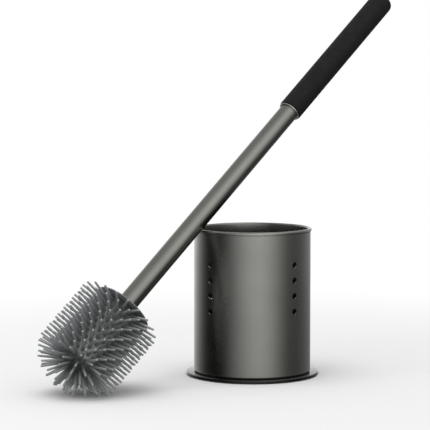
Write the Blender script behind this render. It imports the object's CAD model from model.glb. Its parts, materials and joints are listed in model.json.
"""Toilet brush set: a perforated gunmetal holder on a gloss black base, and a silicone-bristled
brush that stands on the floor and leans on the holder's rim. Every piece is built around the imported
CAD frame, in millimetres, and becomes metres when its mesh is made."""

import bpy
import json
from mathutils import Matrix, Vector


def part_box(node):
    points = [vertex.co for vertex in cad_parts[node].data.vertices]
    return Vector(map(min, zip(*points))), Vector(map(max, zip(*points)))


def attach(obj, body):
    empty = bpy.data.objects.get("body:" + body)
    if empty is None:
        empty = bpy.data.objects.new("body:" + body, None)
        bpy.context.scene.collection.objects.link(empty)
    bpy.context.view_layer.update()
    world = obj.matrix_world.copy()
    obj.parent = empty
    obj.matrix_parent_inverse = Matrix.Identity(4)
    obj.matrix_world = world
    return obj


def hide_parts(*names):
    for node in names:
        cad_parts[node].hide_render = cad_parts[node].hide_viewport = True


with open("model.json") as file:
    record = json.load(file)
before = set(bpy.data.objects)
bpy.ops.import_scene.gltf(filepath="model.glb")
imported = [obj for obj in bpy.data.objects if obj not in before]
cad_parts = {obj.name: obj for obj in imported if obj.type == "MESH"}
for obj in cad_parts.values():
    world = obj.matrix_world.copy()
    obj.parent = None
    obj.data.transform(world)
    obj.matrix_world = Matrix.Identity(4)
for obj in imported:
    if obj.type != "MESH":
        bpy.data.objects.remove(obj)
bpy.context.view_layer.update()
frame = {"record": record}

import json
import math
import random
from types import SimpleNamespace as Sizes

import bmesh
import bpy
from mathutils import Matrix, Quaternion, Vector

MM = 0.001
SCENE = bpy.context.scene
rng = random.Random(7)

# ------------------------------------------------------------------ frames
# HOLDER is the CAD's own frame. BRUSH has +Z along the handle and its zero on top of the flange.
joints = {joint["name"]: joint for joint in frame["record"]["behaviour"]["joints"]}
along = Vector(joints["handle_unscrew"]["axis"]).normalized()
across = Vector((0, 0, 1)).cross(along).normalized()
HOLDER = Matrix.Identity(4)
BRUSH = Matrix.Translation(Vector(joints["handle_unscrew"]["pos_m"])) @ Matrix((
    across.cross(along), across, along)).transposed().to_4x4()


# ------------------------------------------------------------------ sizes, in millimetres
def upright(node):
    """The outer radius, bottom and top of a round CAD node that stands upright."""
    low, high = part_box(node)
    return Sizes(radius=round(high.x / MM, 2), bottom=round(low.z / MM, 2), top=round(high.z / MM, 2))


GAP = 0.3  # the clearance between neighbouring pieces
SHEET = 1.0  # the wall of the sleeve and of the handle's tube

PAD = upright("base_pad")
DISC = upright("base_disc")
SPIGOT = upright("base_spigot")
SLEEVE = upright("sleeve")
RIM = upright("rim_ring")
CUP = upright("drip_cup")
VENT = Sizes(radius=2.5, rows=4, top_row=93.55, pitch=12.57, columns=(45, 135, 225, 315))
SCREW = Sizes(circle=38.0, count=4, head=3.4, shank=1.6, bottom=0.3, top=8.0, point=0.8, socket=1.3)

FLANGE = Sizes(radius=25.0, thickness=1.3, hole=4.4)
CORE = Sizes(radius=14.0, top=-1.6, pocket=-15.4, dome_height=6.5)
INSERT = Sizes(radius=6.6, bottom=-15.0, bore_bottom=-13.4, edge=0.4)
THREAD = Sizes(pitch=2.0, core=3.35, ridge=0.55, neck=3.8, bottom=-12.6, top=12.7)
DOME_Z = -55.0  # where the head's straight side turns into its rounded end
SKIN = Sizes(radius=17.0, inner=14.3, top=-1.6, dome_height=9.5, inner_dome_height=6.8)
BRISTLE = Sizes(reach=36.4, end_reach=27.0, first_ring=-5.6, ring_pitch=5.27, rings=11, per_ring=20,
                phase=2.7, sides=10, buried=0.8, tip=0.85, steps=9, lean=0.012)
END_ROWS = ((76, 20), (61, 16), (46, 12), (30, 8), (13, 4))  # degrees off the axis, bristles
# a bristle's radius along its length, from the fillet at its root to its domed tip
TAPER = ((0.0, 1.95), (0.035, 1.9), (0.07, 1.6), (0.13, 1.4), (0.25, 1.29), (0.4, 1.19), (0.55, 1.09),
         (0.7, 1.0), (0.85, 0.92), (0.96, 0.88), (0.982, 0.81), (0.995, 0.62), (1.0, 0.35))
FLOOR_CLEARANCE = 0.35  # between the floor and the lowest bristles

SEAL = Sizes(radius=7.9, inner=4.4, bottom=0.1, top=1.4)
TUBE = Sizes(radius=8.0, bottom=1.6, top=370.0)
PLUG = Sizes(radius=6.9, top=17.0, bore=4.2, bore_top=13.0)
FERRULE = Sizes(radius=9.4, inner=8.05, bottom=231.2, top=232.1)
GRIP = Sizes(radius=10.0, inner=8.1, bottom=232.5, top=376.4, groove=233.9, groove_depth=0.15)


# ------------------------------------------------------------------ mesh tools
def rounded(points, steps=4):
    """A profile of (radius, height, corner radius) points with its corners rounded."""
    out = []
    for i, (r, z, corner) in enumerate(points):
        here = Vector((r, z))
        if corner <= 0:
            out.append(here)
            continue
        before = Vector(points[i - 1][:2]) - here
        after = Vector(points[(i + 1) % len(points)][:2]) - here
        cut = min(corner, before.length * 0.49, after.length * 0.49)
        start = here + before.normalized() * cut
        end = here + after.normalized() * cut
        for k in range(steps + 1):
            t = k / steps
            out.append(start * (1 - t) ** 2 + here * 2 * t * (1 - t) + end * t ** 2)
    return [(p.x, p.y) for p in out]


def arc(cx, cz, rx, rz, start, end, steps):
    """Points of an ellipse's arc, in degrees, as (radius, height)."""
    turns = [math.radians(start + (end - start) * i / steps) for i in range(steps + 1)]
    return [(cx + rx * math.cos(a), cz + rz * math.sin(a)) for a in turns]


def new_object(name, bm, place, sharp=32):
    """An object from a bmesh in millimetres of the frame called place."""
    bmesh.ops.remove_doubles(bm, verts=bm.verts, dist=1e-5)
    bmesh.ops.recalc_face_normals(bm, faces=bm.faces)
    bm.transform(place @ Matrix.Scale(MM, 4))
    mesh = bpy.data.meshes.new(name)
    bm.to_mesh(mesh)
    bm.free()
    mesh.shade_smooth()
    mesh.set_sharp_from_angle(angle=math.radians(sharp))
    obj = bpy.data.objects.new(name, mesh)
    SCENE.collection.objects.link(obj)
    return obj


def lathe_bmesh(profile, segments):
    """A closed solid turned round +Z. The profile closes on itself or starts and ends on the axis."""
    bm = bmesh.new()
    turns = [2 * math.pi * i / segments for i in range(segments)]
    rings = []
    for r, z in profile:
        if r < 1e-6:
            rings.append([bm.verts.new((0, 0, z))])
        else:
            rings.append([bm.verts.new((r * math.cos(a), r * math.sin(a), z)) for a in turns])
    on_axis = profile[0][0] < 1e-6
    for low, high in zip(rings, rings[1:] + ([] if on_axis else rings[:1])):
        for i in range(segments):
            j = (i + 1) % segments
            corners = [low[i % len(low)], low[j % len(low)], high[j % len(high)], high[i % len(high)]]
            unique = list(dict.fromkeys(corners))
            if len(unique) > 2:
                bm.faces.new(unique)
    return bm


def lathe(name, profile, place=HOLDER, segments=128, sharp=32):
    return new_object(name, lathe_bmesh(profile, segments), place, sharp)


def peg(radius, length, at, turn=HOLDER, sides=32):
    """A plain cylinder to cut with, centred at a point of the holder's frame."""
    bm = bmesh.new()
    bmesh.ops.create_cone(bm, cap_ends=True, segments=sides, radius1=radius, radius2=radius, depth=length)
    return new_object("cutter", bm, Matrix.Translation(Vector(at) * MM) @ turn)


def drill(obj, tools, bevel=0.0):
    """Cuts the tool objects out of obj, and breaks the new edges."""
    for tool in tools:
        cut = obj.modifiers.new("cut", "BOOLEAN")
        cut.operation = "DIFFERENCE"
        cut.solver = "EXACT"
        cut.object = tool
    if bevel:
        edge = obj.modifiers.new("edge", "BEVEL")
        edge.width = bevel * MM
        edge.segments = 2
        edge.limit_method = "ANGLE"
        edge.angle_limit = math.radians(50)
    graph = bpy.context.evaluated_depsgraph_get()
    graph.update()
    mesh = bpy.data.meshes.new_from_object(obj.evaluated_get(graph), depsgraph=graph)
    obj.modifiers.clear()
    obj.data = mesh
    mesh.shade_smooth()
    mesh.set_sharp_from_angle(angle=math.radians(32))
    for tool in tools:
        bpy.data.objects.remove(tool)


def true_wall(obj, *radii):
    """Gives a drilled tube's upright walls, of these radii, the normals of the round surface."""
    mesh = obj.data
    normals = [(0.0, 0.0, 0.0)] * len(mesh.loops)
    for face in mesh.polygons:
        middle = math.hypot(face.center.x, face.center.y) / MM
        facing = face.normal.xy.normalized().dot(face.center.xy.normalized())
        is_upright = abs(face.normal.z) < 0.01 and abs(facing) > 0.995
        if is_upright and any(abs(middle - r) < 0.08 for r in radii):
            way = 1 if facing > 0 else -1
            for k in face.loop_indices:
                spot = mesh.vertices[mesh.loops[k].vertex_index].co.xy.normalized() * way
                normals[k] = (spot.x, spot.y, 0.0)
    mesh.normals_split_custom_set(normals)


# ------------------------------------------------------------------ materials
def color_ramp(tree, stops):
    """A colour ramp through (position, grey or colour) stops."""
    node = tree.nodes.new("ShaderNodeValToRGB")
    elements = node.color_ramp.elements
    while len(elements) < len(stops):
        elements.new(0.5)
    for element, (at, value) in zip(elements, stops):
        element.position = at
        element.color = (*value, 1) if isinstance(value, tuple) else (value, value, value, 1)
    return node


def material(name, color, roughness, metallic=0.0, tint=0.12, tint_scale=60.0, grain=2200.0,
             grain_depth=0.05, uneven=0.06, stretch=(1, 1, 1), place=HOLDER, **sockets):
    """A procedural finish: blotches of colour, uneven gloss and a fine grain in relief."""
    mat = bpy.data.materials.new(name)
    mat.use_nodes = True
    tree = mat.node_tree
    link = tree.links.new
    shader = tree.nodes["Principled BSDF"]
    shader.inputs["Metallic"].default_value = metallic
    for key, value in sockets.items():
        shader.inputs[key.replace("_", " ")].default_value = value

    where = tree.nodes.new("ShaderNodeTexCoord")
    turned = tree.nodes.new("ShaderNodeMapping")
    turned.vector_type = "TEXTURE"
    turned.inputs["Rotation"].default_value = place.to_euler()
    turned.inputs["Location"].default_value = place.to_translation()
    link(where.outputs["Object"], turned.inputs["Vector"])
    spread = tree.nodes.new("ShaderNodeMapping")
    spread.inputs["Scale"].default_value = stretch
    link(turned.outputs["Vector"], spread.inputs["Vector"])

    def noise(scale, detail, source):
        node = tree.nodes.new("ShaderNodeTexNoise")
        node.inputs["Scale"].default_value = scale
        node.inputs["Detail"].default_value = detail
        link(source.outputs["Vector"], node.inputs["Vector"])
        return node.outputs["Fac"]

    blotches = color_ramp(tree, ((0.3, tuple(c * (1 - tint) for c in color)),
                                 (0.7, tuple(min(1, c * (1 + tint)) for c in color))))
    link(noise(tint_scale, 4.0, turned), blotches.inputs["Fac"])
    link(blotches.outputs["Color"], shader.inputs["Base Color"])

    gloss = tree.nodes.new("ShaderNodeMapRange")
    gloss.inputs["From Min"].default_value = 0.25
    gloss.inputs["From Max"].default_value = 0.75
    gloss.inputs["To Min"].default_value = max(0.02, roughness - uneven)
    gloss.inputs["To Max"].default_value = min(1.0, roughness + uneven)
    link(noise(tint_scale * 2.7, 3.0, turned), gloss.inputs["Value"])
    link(gloss.outputs["Result"], shader.inputs["Roughness"])

    bump = tree.nodes.new("ShaderNodeBump")
    bump.inputs["Strength"].default_value = 1.0
    bump.inputs["Distance"].default_value = grain_depth * MM
    link(noise(grain, 2.0, spread), bump.inputs["Height"])
    link(bump.outputs["Normal"], shader.inputs["Normal"])
    return mat


def darker_roots(mat):
    """Darkens the silicone toward a bristle's root, by how far out of the head a point is: 1 is the
    ellipsoid that the tips reach, in the frame that the material is turned to."""
    tree = mat.node_tree
    link = tree.links.new
    turned = next(n for n in tree.nodes if n.type == "MAPPING" and n.vector_type == "TEXTURE")
    parts = tree.nodes.new("ShaderNodeSeparateXYZ")
    link(turned.outputs["Vector"], parts.inputs["Vector"])

    def maths(operation, source, value):
        node = tree.nodes.new("ShaderNodeMath")
        node.operation = operation
        link(source, node.inputs[0])
        node.inputs[1].default_value = value
        return node.outputs["Value"]

    past_side = maths("MINIMUM", maths("SUBTRACT", parts.outputs["Z"], DOME_Z * MM), 0.0)
    spot = tree.nodes.new("ShaderNodeCombineXYZ")
    link(maths("DIVIDE", parts.outputs["X"], BRISTLE.reach * MM), spot.inputs["X"])
    link(maths("DIVIDE", parts.outputs["Y"], BRISTLE.reach * MM), spot.inputs["Y"])
    link(maths("DIVIDE", past_side, BRISTLE.end_reach * MM), spot.inputs["Z"])
    out = tree.nodes.new("ShaderNodeVectorMath")
    out.operation = "LENGTH"
    link(spot.outputs["Vector"], out.inputs[0])
    shades = color_ramp(tree, ((0.45, 0.23), (0.6, 0.46), (0.8, 0.76), (0.95, 0.83), (0.985, 0.85)))
    link(out.outputs["Value"], shades.inputs["Fac"])
    shade = tree.nodes.new("ShaderNodeMix")
    shade.data_type = "RGBA"
    shade.blend_type = "MULTIPLY"
    shade.inputs["Factor"].default_value = 1.0
    shader = tree.nodes["Principled BSDF"]
    link(shader.inputs["Base Color"].links[0].from_socket, shade.inputs["A"])
    link(shades.outputs["Color"], shade.inputs["B"])
    link(shade.outputs["Result"], shader.inputs["Base Color"])


GUNMETAL = (0.296, 0.3, 0.276)
SATIN = dict(metallic=1.0, tint=0.05, grain=1500, grain_depth=0.006)  # what the gunmetal pieces share
DRAWN = (1, 1, 0.25)  # stretches a grain along +Z, as on a drawn tube

LOOKS = {
    "sleeve": material("gunmetal_sleeve", GUNMETAL, 0.28, tint_scale=25, uneven=0.015, stretch=DRAWN,
                       **SATIN),
    "rim": material("gunmetal_rim", (0.33, 0.334, 0.308), 0.25, tint_scale=60, uneven=0.015, **SATIN),
    "tube": material("gunmetal_tube", GUNMETAL, 0.3, tint_scale=30, uneven=0.02, stretch=DRAWN,
                     place=BRUSH, **SATIN),
    "disc": material("base_black", (0.009, 0.008, 0.008), 0.12, tint=0.2, tint_scale=40,
                     grain=900, grain_depth=0.004, uneven=0.03, IOR=1.5),
    "black": material("black_plastic", (0.01, 0.0105, 0.011), 0.5, tint=0.2, tint_scale=90,
                      grain=2600, grain_depth=0.03),
    "head": material("head_plastic", (0.27, 0.28, 0.285), 0.22, tint_scale=120,
                     grain=2600, grain_depth=0.02, place=BRUSH),
    "silicone": material("silicone", (0.58, 0.603, 0.611), 0.34, tint=0.1, tint_scale=150,
                         grain=2000, grain_depth=0.015, place=BRUSH, Specular_IOR_Level=1.0,
                         Coat_Weight=1.0, Coat_IOR=1.7, Coat_Roughness=0.14),
    "grip": material("grip_rubber", (0.009, 0.009, 0.0095), 0.7, tint=0.25, tint_scale=110,
                     grain=3000, grain_depth=0.06, uneven=0.08, place=BRUSH, Specular_IOR_Level=0.35),
    "pad": material("pad_rubber", (0.03, 0.03, 0.032), 0.8, tint=0.2, tint_scale=100,
                    grain=2400, grain_depth=0.06),
    "steel": material("satin_steel", (0.56, 0.555, 0.54), 0.25, metallic=1.0, tint=0.06,
                      tint_scale=300, grain=4000, grain_depth=0.01),
    "brass": material("turned_brass", (0.6, 0.42, 0.17), 0.28, metallic=1.0, tint=0.1,
                      tint_scale=300, grain=4000, grain_depth=0.01, place=BRUSH),
}
darker_roots(LOOKS["silicone"])


def finish(obj, look, body, node):
    """Gives a piece its material, body, material slot and the CAD node that it stands for."""
    obj.data.materials.clear()
    obj.data.materials.append(LOOKS[look])
    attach(obj, body)
    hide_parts(node)


# ------------------------------------------------------------------ holder
SCREW_TURNS = [math.pi / 2 * i for i in range(SCREW.count)]
SCREW_SPOTS = [Vector((SCREW.circle * math.cos(a), SCREW.circle * math.sin(a), 0)) for a in SCREW_TURNS]


def screw_pegs(radius, length, height, sides=32):
    return [peg(radius, length, spot + Vector((0, 0, height)), sides=sides) for spot in SCREW_SPOTS]


def make_sleeve():
    """A tube of sheet metal with four columns of vents."""
    inner = SLEEVE.radius - SHEET
    sleeve = lathe("sleeve_tube", rounded([
        (inner, SLEEVE.bottom, 0.15), (SLEEVE.radius, SLEEVE.bottom, 0.15),
        (SLEEVE.radius, SLEEVE.top, 0.1), (inner, SLEEVE.top, 0.1)], 2), segments=240)
    vents = []
    for column in VENT.columns:
        a = math.radians(column)
        turn = Matrix.Rotation(a, 4, "Z") @ Matrix.Rotation(math.radians(90), 4, "Y")
        wall = Vector((math.cos(a), math.sin(a), 0)) * (SLEEVE.radius - SHEET / 2)
        for row in range(VENT.rows):
            at = wall + Vector((0, 0, VENT.top_row - VENT.pitch * row))
            vents.append(peg(VENT.radius, 8, at, turn))
    drill(sleeve, vents, bevel=0.12)
    true_wall(sleeve, inner, SLEEVE.radius)
    finish(sleeve, "sleeve", "holder", "sleeve")


def make_rim():
    """A rolled bead on the sleeve's edge, with a skirt down inside it."""
    inner = 46.0
    skirt = SLEEVE.radius - SHEET - GAP
    bead_bottom = SLEEVE.top + 0.55
    rim = lathe("rim_bead", rounded([
        (inner, RIM.bottom, 0.2), (skirt, RIM.bottom, 0.2), (skirt, bead_bottom, 0.0),
        (RIM.radius, bead_bottom, 0.3), (RIM.radius, RIM.top, 1.3), (inner, RIM.top, 1.2)], 6),
        segments=240)
    finish(rim, "rim", "holder", "rim_ring")


def make_disc():
    """The base disc, hollowed underneath for the pad and drilled for the screws."""
    recess = PAD.radius + 0.4
    ceiling = PAD.top + GAP
    disc = lathe("base_plate", rounded([
        (0.0, ceiling, 0.0), (recess, ceiling, 0.2), (recess, DISC.bottom, 0.2),
        (DISC.radius, DISC.bottom, 0.5), (DISC.radius, DISC.top, 0.55), (0.0, DISC.top, 0.0)], 5),
        segments=240)
    drill(disc, screw_pegs(SCREW.shank + GAP, 6, 2, sides=24))
    finish(disc, "disc", "holder", "base_disc")


def make_pad():
    """The anti-slip pad, with round grooves underneath and holes round the screws' heads."""
    depth = 0.35
    profile = [(0.0, 0.0, 0.0), (9.0, 0.0, 0.0)]
    for r in (12, 18, 24, 30, 46):
        profile += [(r - 1.6, 0.0, 0.15), (r - 1.2, depth, 0.1), (r + 1.2, depth, 0.1), (r + 1.6, 0.0, 0.15)]
    profile += [(PAD.radius, 0.0, 0.3), (PAD.radius, PAD.top, 0.1), (0.0, PAD.top, 0.0)]
    pad = lathe("anti_slip_pad", rounded(profile, 3))
    drill(pad, screw_pegs(4.6, 6, 1))
    finish(pad, "pad", "holder", "base_pad")


def make_spigot():
    """The ring that plugs the sleeve's foot: a shoulder under it and a wall inside it."""
    plug = SLEEVE.radius - SHEET - GAP
    shoulder = SLEEVE.bottom - GAP
    wall, floor, inner = 44.2, 9.4, 33.0
    spigot = lathe("sleeve_plug", rounded([
        (inner, SPIGOT.bottom, 0.3), (SPIGOT.radius, SPIGOT.bottom, 0.2), (SPIGOT.radius, shoulder, 0.2),
        (plug, shoulder, 0.0), (plug, SPIGOT.top, 0.8), (wall, SPIGOT.top, 0.4), (wall, floor, 0.3),
        (inner, floor, 0.5)], 3), segments=160)
    finish(spigot, "black", "holder", "base_spigot")


def make_screws():
    """Flat-headed screws with a hexagon socket, up through the disc into the spigot."""
    for i, spot in enumerate(SCREW_SPOTS, start=1):
        screw = lathe("foot_screw_%d" % i, rounded([
            (0.0, SCREW.bottom, 0.0), (SCREW.head, SCREW.bottom, 0.35), (SCREW.head, PAD.top, 0.15),
            (SCREW.shank, PAD.top, 0.1), (SCREW.shank, SCREW.top - SCREW.point, 0.0),
            (SCREW.shank - SCREW.point, SCREW.top, 0.1), (0.0, SCREW.top, 0.0)], 3),
            Matrix.Translation(spot * MM), segments=48)
        drill(screw, [peg(SCREW.socket, 1.0, spot + Vector((0, 0, SCREW.bottom)), sides=6)])
        finish(screw, "steel", "holder", "base_screw_%d" % i)


def make_cup():
    """The loose drip cup: a foot ring, a wall that widens upward, and a lip."""
    foot, mouth, wall = 43.7, 44.6, 1.8
    lip_bottom = CUP.top - 2
    cup = lathe("drip_cup_shell", rounded([
        (0.0, CUP.bottom + 0.2, 0.0), (38.0, CUP.bottom + 0.2, 0.4), (39.0, CUP.bottom, 0.4),
        (foot, CUP.bottom, 2.2), (mouth, lip_bottom, 0.2), (CUP.radius, lip_bottom, 0.3),
        (CUP.radius, CUP.top, 0.5), (mouth - wall, CUP.top, 0.6), (foot - wall, CUP.bottom + 2.4, 2.0),
        (0.0, CUP.bottom + 1.6, 0.0)], 4), segments=160)
    finish(cup, "black", "drip_cup", "drip_cup")


make_sleeve()
make_rim()
make_disc()
make_pad()
make_spigot()
make_screws()
make_cup()


# ------------------------------------------------------------------ brush head
def make_flange():
    """The head's top plate, a little dished on both sides toward its edge."""
    flange = lathe("head_flange", rounded([
        (FLANGE.hole, -FLANGE.thickness, 0.2), (17.6, -FLANGE.thickness, 0.1),
        (FLANGE.radius, -1.1, 0.45), (FLANGE.radius, -0.1, 0.5), (9.5, 0.0, 0.1),
        (FLANGE.hole, 0.0, 0.2)], 4), BRUSH)
    finish(flange, "head", "brush_head", "flange_disc")


def make_core():
    """The rigid core, with a rounded end and a pocket for the brass insert."""
    pocket = INSERT.radius + GAP
    core = lathe("core_body", arc(0, DOME_Z, CORE.radius, CORE.dome_height, -90, 0, 10) + [
        (CORE.radius, CORE.top - 0.6), (CORE.radius - 0.6, CORE.top), (pocket, CORE.top),
        (pocket, CORE.pocket), (0, CORE.pocket)], BRUSH, segments=64)
    finish(core, "head", "brush_head", "head_core")


def ridges(start, end, crest, root, pitch):
    """A threaded bore's ridges, as (radius, height), from one height to another."""
    turns = max(1, round(abs(end - start) / pitch))
    step = (end - start) / turns
    out = []
    for i in range(turns):
        low = start + i * step
        out += [(root, low), (crest, low + step * 0.35), (crest, low + step * 0.5),
                (root, low + step * 0.85)]
    return out


def make_insert():
    """The brass bush, ridged inside like a thread. The ridges are rings and not a helix."""
    shaved = INSERT.radius - INSERT.edge
    insert = lathe("brass_bush", [
        (0, INSERT.bottom), (shaved, INSERT.bottom), (INSERT.radius, INSERT.bottom + INSERT.edge),
        (INSERT.radius, CORE.top - INSERT.edge), (shaved, CORE.top), (FLANGE.hole, CORE.top)]
        + ridges(CORE.top - INSERT.edge, INSERT.bore_bottom, 4.3, 4.7, THREAD.pitch)
        + [(0, INSERT.bore_bottom)], BRUSH, segments=48)
    finish(insert, "brass", "brush_head", "head_insert")


# The lowest bristles bend where they meet the floor. These are in the brush's frame.
down = (BRUSH.inverted().to_3x3() @ Vector((0, 0, -1))).normalized()
OUTWARD_END = Vector((0, 0, -1))


def height(point):
    """A brush-frame point's height above the floor."""
    return (BRUSH @ (point * MM)).z / MM


def bend(base, direction, length):
    """The bristle's centre line: straight, or curling along the floor where it would dip below it."""
    clear = FLOOR_CLEARANCE + BRISTLE.tip

    def line(turn, about):
        points = [base.copy()]
        for k in range(BRISTLE.steps):
            share = max(0.0, (k + 0.5) / BRISTLE.steps - 0.25) / 0.75
            heading = Quaternion(about, turn * share) @ direction
            points.append(points[-1] + heading * (length / BRISTLE.steps))
        return points

    straight = line(0.0, Vector((0, 0, 1)))
    if min(height(p) for p in straight) >= clear:
        return straight
    level = direction - down * direction.dot(down)
    if level.length < 0.2:
        level = OUTWARD_END - down * OUTWARD_END.dot(down)
    about = direction.cross(level.normalized()).normalized()
    for degrees in range(3, 181, 3):
        curled = line(math.radians(degrees), about)
        if min(height(p) for p in curled) >= clear:
            break
    return curled


def ellipse(radius, tall, tilt):
    """How far an ellipse of this radius and height is from its centre, at an angle off its side."""
    return 1 / math.hypot(math.cos(tilt) / radius, math.sin(tilt) / tall)


def add_bristle(bm, centre_z, start, reach, tilt, turn):
    """A tapered rod on a line from the head's axis, tilted toward the head's end."""
    out = Vector((math.cos(tilt) * math.cos(turn), math.cos(tilt) * math.sin(turn), -math.sin(tilt)))
    lean = Vector((rng.uniform(-1, 1), rng.uniform(-1, 1), rng.uniform(-1, 1))) * BRISTLE.lean
    direction = (out + lean).normalized()
    base = Vector((0, 0, centre_z)) + out * (start - BRISTLE.buried)
    points = bend(base, direction, reach - start + BRISTLE.buried)
    turns = [2 * math.pi * i / BRISTLE.sides for i in range(BRISTLE.sides)]
    normal = direction.orthogonal().normalized()
    last = None
    for share, radius in TAPER:
        at = min(share * BRISTLE.steps, BRISTLE.steps - 1e-6)
        k = int(at)
        centre = points[k].lerp(points[k + 1], at - k)
        heading = (points[k + 1] - points[k]).normalized()
        normal = (normal - heading * normal.dot(heading)).normalized()
        side = heading.cross(normal)
        ring = [bm.verts.new(centre + (normal * math.cos(a) + side * math.sin(a)) * radius) for a in turns]
        if last:
            for i in range(BRISTLE.sides):
                j = (i + 1) % BRISTLE.sides
                bm.faces.new((last[i], last[j], ring[j], ring[i]))
        else:
            bm.faces.new(list(reversed(ring)))
        last = ring
    bm.faces.new(last)


def make_skin():
    """The silicone skin over the core, with its rings of bristles and its bristled end."""
    bm = lathe_bmesh(
        arc(0, DOME_Z, SKIN.radius, SKIN.dome_height, -90, 0, 14)
        + [(SKIN.radius, SKIN.top - 0.4), (SKIN.radius - 0.4, SKIN.top), (SKIN.inner, SKIN.top)]
        + arc(0, DOME_Z, SKIN.inner, SKIN.inner_dome_height, 0, -90, 10), 96)
    for k in range(BRISTLE.rings):
        for i in range(BRISTLE.per_ring):
            turn = BRISTLE.phase + (k % 2) * 180 / BRISTLE.per_ring + 360 * i / BRISTLE.per_ring
            ring_z = BRISTLE.first_ring - k * BRISTLE.ring_pitch
            add_bristle(bm, ring_z, SKIN.radius, BRISTLE.reach, 0.0, math.radians(turn))
    for row, (off_axis, count) in enumerate(END_ROWS):
        tilt = math.radians(90 - off_axis)
        start = ellipse(SKIN.radius, SKIN.dome_height, tilt)
        reach = ellipse(BRISTLE.reach, BRISTLE.end_reach, tilt)
        for i in range(count):
            turn = math.radians(BRISTLE.phase) + (row % 2) * math.pi / count + 2 * math.pi * i / count
            add_bristle(bm, DOME_Z, start, reach, tilt, turn)
    skin = new_object("bristle_skin", bm, BRUSH, sharp=50)
    finish(skin, "silicone", "brush_head", "bristle_sleeve")


make_flange()
make_core()
make_insert()
make_skin()


# ------------------------------------------------------------------ brush handle
def make_seal():
    """The washer between the head and the handle."""
    seal = lathe("seal_ring", rounded([
        (SEAL.inner, SEAL.bottom, 0.2), (SEAL.radius, SEAL.bottom, 0.3), (SEAL.radius, SEAL.top, 0.3),
        (SEAL.inner, SEAL.top, 0.2)], 3), BRUSH, segments=64)
    finish(seal, "pad", "seal", "seal_washer")


def make_tube():
    """The handle's tube."""
    inner = TUBE.radius - SHEET
    tube = lathe("handle_pipe", rounded([
        (inner, TUBE.bottom, 0.15), (TUBE.radius, TUBE.bottom, 0.2), (TUBE.radius, TUBE.top, 0.2),
        (inner, TUBE.top, 0.15)], 3), BRUSH, segments=96)
    finish(tube, "tube", "brush_handle", "handle_tube")


def make_plug():
    """The plug in the tube's lower end, bored for the stud."""
    plug = lathe("pipe_plug", rounded([
        (PLUG.bore, TUBE.bottom, 0.2), (PLUG.radius, TUBE.bottom, 0.15), (PLUG.radius, PLUG.top, 0.5),
        (0, PLUG.top, 0), (0, PLUG.bore_top, 0), (PLUG.bore, PLUG.bore_top, 0)], 3), BRUSH, segments=48)
    finish(plug, "black", "brush_handle", "tube_plug")


def make_stud():
    """A rod with a helical thread below its plain neck."""
    bm = bmesh.new()
    sides = 32
    levels_per_turn = 10
    runout = 1.2  # over which the thread fades in at each end
    levels = int((THREAD.top - THREAD.bottom) / THREAD.pitch * levels_per_turn)
    rings = []
    for k in range(levels + 1):
        z = THREAD.bottom + (THREAD.top - THREAD.bottom) * k / levels
        fade = min(1.0, (z - THREAD.bottom) / runout, max(0.0, -z / runout))
        ring = []
        for i in range(sides):
            a = 2 * math.pi * i / sides
            off_crest = abs((z / THREAD.pitch - i / sides) % 1.0 - 0.5)
            ridge = min(1.0, max(0.0, 1 - off_crest * 3.2) * 1.6)
            r = THREAD.core + THREAD.ridge * ridge * fade if z < 0 else THREAD.neck
            if k == 0:
                r -= 0.5
            ring.append(bm.verts.new((r * math.cos(a), r * math.sin(a), z)))
        rings.append(ring)
    for low, high in zip(rings, rings[1:]):
        for i in range(sides):
            j = (i + 1) % sides
            bm.faces.new((low[i], low[j], high[j], high[i]))
    bm.faces.new(list(reversed(rings[0])))
    bm.faces.new(rings[-1])
    stud = new_object("stud_screw", bm, BRUSH, sharp=60)
    finish(stud, "steel", "brush_handle", "thread_stud")


def make_ferrule():
    """The thin bright ring below the grip."""
    ferrule = lathe("grip_collar", rounded([
        (FERRULE.inner, FERRULE.bottom, 0.1), (FERRULE.radius, FERRULE.bottom, 0.3),
        (FERRULE.radius, FERRULE.top, 0.3), (FERRULE.inner, FERRULE.top, 0.1)], 3), BRUSH, segments=96)
    finish(ferrule, "steel", "brush_handle", "ferrule_ring")


def make_grip():
    """The rubber grip, with a fine groove near its foot and a rounded, closed end."""
    waist = GRIP.radius - GRIP.groove_depth
    bore_top = TUBE.top + GAP
    grip = lathe("grip_cover", rounded([
        (GRIP.inner, GRIP.bottom, 0.2), (GRIP.radius, GRIP.bottom, 0.7),
        (GRIP.radius, GRIP.groove, 0.15), (waist, GRIP.groove + 0.3, 0.1),
        (waist, GRIP.groove + 0.7, 0.1), (GRIP.radius, GRIP.groove + 1, 0.15),
        (GRIP.radius, GRIP.top, 5.8), (0, GRIP.top, 0), (0, bore_top, 0), (GRIP.inner, bore_top, 0.3)],
        8), BRUSH, segments=96)
    finish(grip, "grip", "brush_handle", "grip_sleeve")


make_seal()
make_tube()
make_plug()
make_stud()
make_ferrule()
make_grip()


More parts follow.
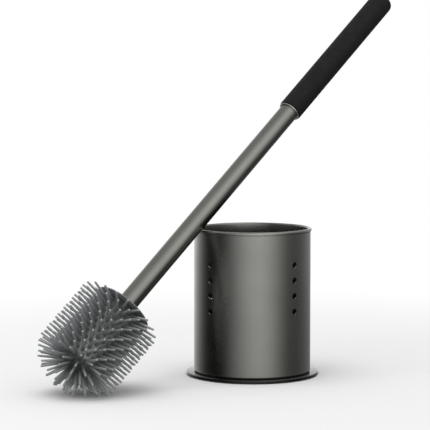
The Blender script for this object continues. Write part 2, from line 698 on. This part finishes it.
# ------------------------------------------------------------------ stage
def smooth_floor():
    """A pale floor that turns white away from the object and can be seen through from beneath."""
    bm = bmesh.new()
    bmesh.ops.create_circle(bm, cap_ends=True, segments=96, radius=6000)
    floor = new_object("studio_floor", bm, HOLDER)
    floor.location.z = -0.2 * MM
    mat = bpy.data.materials.new("floor_paper")
    mat.use_nodes = True
    tree = mat.node_tree
    link = tree.links.new
    tree.nodes.remove(tree.nodes["Principled BSDF"])
    where = tree.nodes.new("ShaderNodeTexCoord")
    away = tree.nodes.new("ShaderNodeVectorMath")
    away.operation = "LENGTH"
    link(where.outputs["Object"], away.inputs[0])
    fade = tree.nodes.new("ShaderNodeMapRange")
    fade.interpolation_type = "SMOOTHSTEP"
    fade.inputs["From Min"].default_value = 0.2
    fade.inputs["From Max"].default_value = 0.6
    link(away.outputs["Value"], fade.inputs["Value"])
    paper = tree.nodes.new("ShaderNodeBsdfDiffuse")
    paper.inputs["Color"].default_value = (0.88, 0.88, 0.88, 1)
    glow = tree.nodes.new("ShaderNodeEmission")
    glow.inputs["Color"].default_value = (1, 1, 1, 1)
    above = tree.nodes.new("ShaderNodeMixShader")
    link(fade.outputs["Result"], above.inputs["Fac"])
    link(paper.outputs["BSDF"], above.inputs[1])
    link(glow.outputs["Emission"], above.inputs[2])
    clear = tree.nodes.new("ShaderNodeBsdfTransparent")
    facing = tree.nodes.new("ShaderNodeNewGeometry")
    both = tree.nodes.new("ShaderNodeMixShader")
    link(facing.outputs["Backfacing"], both.inputs["Fac"])
    link(above.outputs["Shader"], both.inputs[1])
    link(clear.outputs["BSDF"], both.inputs[2])
    link(both.outputs["Shader"], tree.nodes["Material Output"].inputs["Surface"])
    floor.data.materials.append(mat)
    floor.visible_glossy = False
    floor.visible_diffuse = False


# What shiny surfaces see of the studio, as brightness. Round the object at eye level, by degrees from
# the front toward the right, there are soft lights in front, at the right rear and behind.
FRONT_LIGHT = 1.65
REAR_FILL = 0.6
BACK_LIGHT = 2.1
RIGHT_SHADE = 0.2
ROOM = ((-180, BACK_LIGHT), (-95, 0.0), (-70, 0.0), (12, FRONT_LIGHT), (80, RIGHT_SHADE),
        (90, RIGHT_SHADE), (155, REAR_FILL), (180, BACK_LIGHT))
# The ceiling goes by the cosine of the angle to a large soft lamp at the front right. It is bright
# again on the far side from that lamp.
LAMP_DIRECTION = (0.527, -0.586, 0.616)
CEILING = ((-1.0, 2.0), (-0.75, 1.4), (-0.5, 0.6), (0.1, 0.4), (0.6, 0.47), (0.85, 0.7), (0.96, 0.98),
           (1.0, 1.1))
# The rest go by the direction's height, from -1 straight down to 1 straight up.
ROOM_TO_CEILING = ((-1.0, 0.0), (-0.03, 0.0), (0.28, 1.0), (1.0, 1.0))
GROUND = ((-1.0, 0.22), (-0.7, 0.26), (-0.45, 0.3), (-0.3, 0.25), (-0.2, 0.2), (-0.06, 0.9),
          (0.02, 1.0), (1.0, 1.0))
MATT_SKY = ((-1.0, 0.2), (0.0, 0.25), (0.5, 0.65), (1.0, 1.0))


def studio_world():
    """White to the eye, soft from above for matt surfaces, and a studio room for shiny ones."""
    world = bpy.data.worlds.new("studio")
    SCENE.world = world
    world.use_nodes = True
    tree = world.node_tree
    link = tree.links.new
    tree.nodes.clear()

    def maths(operation, one, two):
        node = tree.nodes.new("ShaderNodeMath")
        node.operation = operation
        for value, socket in ((one, node.inputs[0]), (two, node.inputs[1])):
            if isinstance(value, float):
                socket.default_value = value
            else:
                link(value, socket)
        return node.outputs["Value"]

    def by(source, stops, low=-1.0, high=1.0, between="LINEAR"):
        """Brightness by a value, straight between the stops or eased."""
        span = tree.nodes.new("ShaderNodeMapRange")
        span.inputs["From Min"].default_value = low
        span.inputs["From Max"].default_value = high
        link(source, span.inputs["Value"])
        node = color_ramp(tree, [((at - low) / (high - low), value) for at, value in stops])
        node.color_ramp.interpolation = between
        link(span.outputs["Result"], node.inputs["Fac"])
        return node.outputs["Color"]

    def mix(factor, one, two, blend="MIX"):
        node = tree.nodes.new("ShaderNodeMix")
        node.data_type = "RGBA"
        node.blend_type = blend
        for value, socket in ((factor, "Factor"), (one, "A"), (two, "B")):
            if isinstance(value, (float, tuple)):
                node.inputs[socket].default_value = value
            else:
                link(value, node.inputs[socket])
        return node.outputs["Result"]

    where = tree.nodes.new("ShaderNodeTexCoord")
    direction = where.outputs["Generated"]
    parts = tree.nodes.new("ShaderNodeSeparateXYZ")
    link(direction, parts.inputs["Vector"])
    azimuth = maths("ARCTAN2", parts.outputs["X"], maths("MULTIPLY", parts.outputs["Y"], -1.0))
    tall = parts.outputs["Z"]
    lamp = tree.nodes.new("ShaderNodeVectorMath")
    lamp.operation = "DOT_PRODUCT"
    lamp.inputs[1].default_value = LAMP_DIRECTION
    link(direction, lamp.inputs[0])

    room = by(azimuth, [(math.radians(a), v) for a, v in ROOM], -math.pi, math.pi, "EASE")
    upper = mix(by(tall, ROOM_TO_CEILING), room, by(lamp.outputs["Value"], CEILING))
    shiny = mix(1.0, upper, by(tall, GROUND), "MULTIPLY")
    path = tree.nodes.new("ShaderNodeLightPath")
    lit = mix(path.outputs["Is Glossy Ray"], by(tall, MATT_SKY), shiny)
    seen = mix(path.outputs["Is Camera Ray"], lit, (1.0, 1.0, 1.0, 1.0))
    sky = tree.nodes.new("ShaderNodeBackground")
    link(seen, sky.inputs["Color"])
    out = tree.nodes.new("ShaderNodeOutputWorld")
    link(sky.outputs["Background"], out.inputs["Surface"])


def softbox(name, at, aim, side, watts):
    """A square lamp that shiny surfaces don't show, in metres."""
    light = bpy.data.lights.new(name, "AREA")
    light.shape = "SQUARE"
    light.size = side
    light.energy = watts
    obj = bpy.data.objects.new(name, light)
    SCENE.collection.objects.link(obj)
    obj.location = at
    obj.rotation_euler = (Vector(aim) - Vector(at)).to_track_quat("-Z", "Y").to_euler()
    obj.visible_glossy = False


def photo_camera():
    """The camera stands 1.5 m off and looks slightly down."""
    lens = bpy.data.cameras.new("camera")
    lens.sensor_width = 36.0
    lens.lens = 156.56
    lens.clip_start = 0.05
    lens.clip_end = 50.0
    obj = bpy.data.objects.new("camera", lens)
    SCENE.collection.objects.link(obj)
    eye = (-0.00773, -1.53303, 0.25868)
    pitch = 0.0829
    yaw = -0.015
    look = Vector((math.sin(yaw) * math.cos(pitch), math.cos(yaw) * math.cos(pitch), -math.sin(pitch)))
    right = Vector((math.cos(yaw), -math.sin(yaw), 0))
    obj.matrix_world = Matrix.Translation(eye) @ Matrix((
        right, right.cross(look), -look)).transposed().to_4x4()
    SCENE.camera = obj


SCENE.view_settings.view_transform = "Standard"
SCENE.view_settings.look = "None"
smooth_floor()
studio_world()
softbox("key", at=(-0.2, -0.1, 1.4), aim=(-0.03, 0, 0.05), side=0.9, watts=6.5)
photo_camera()
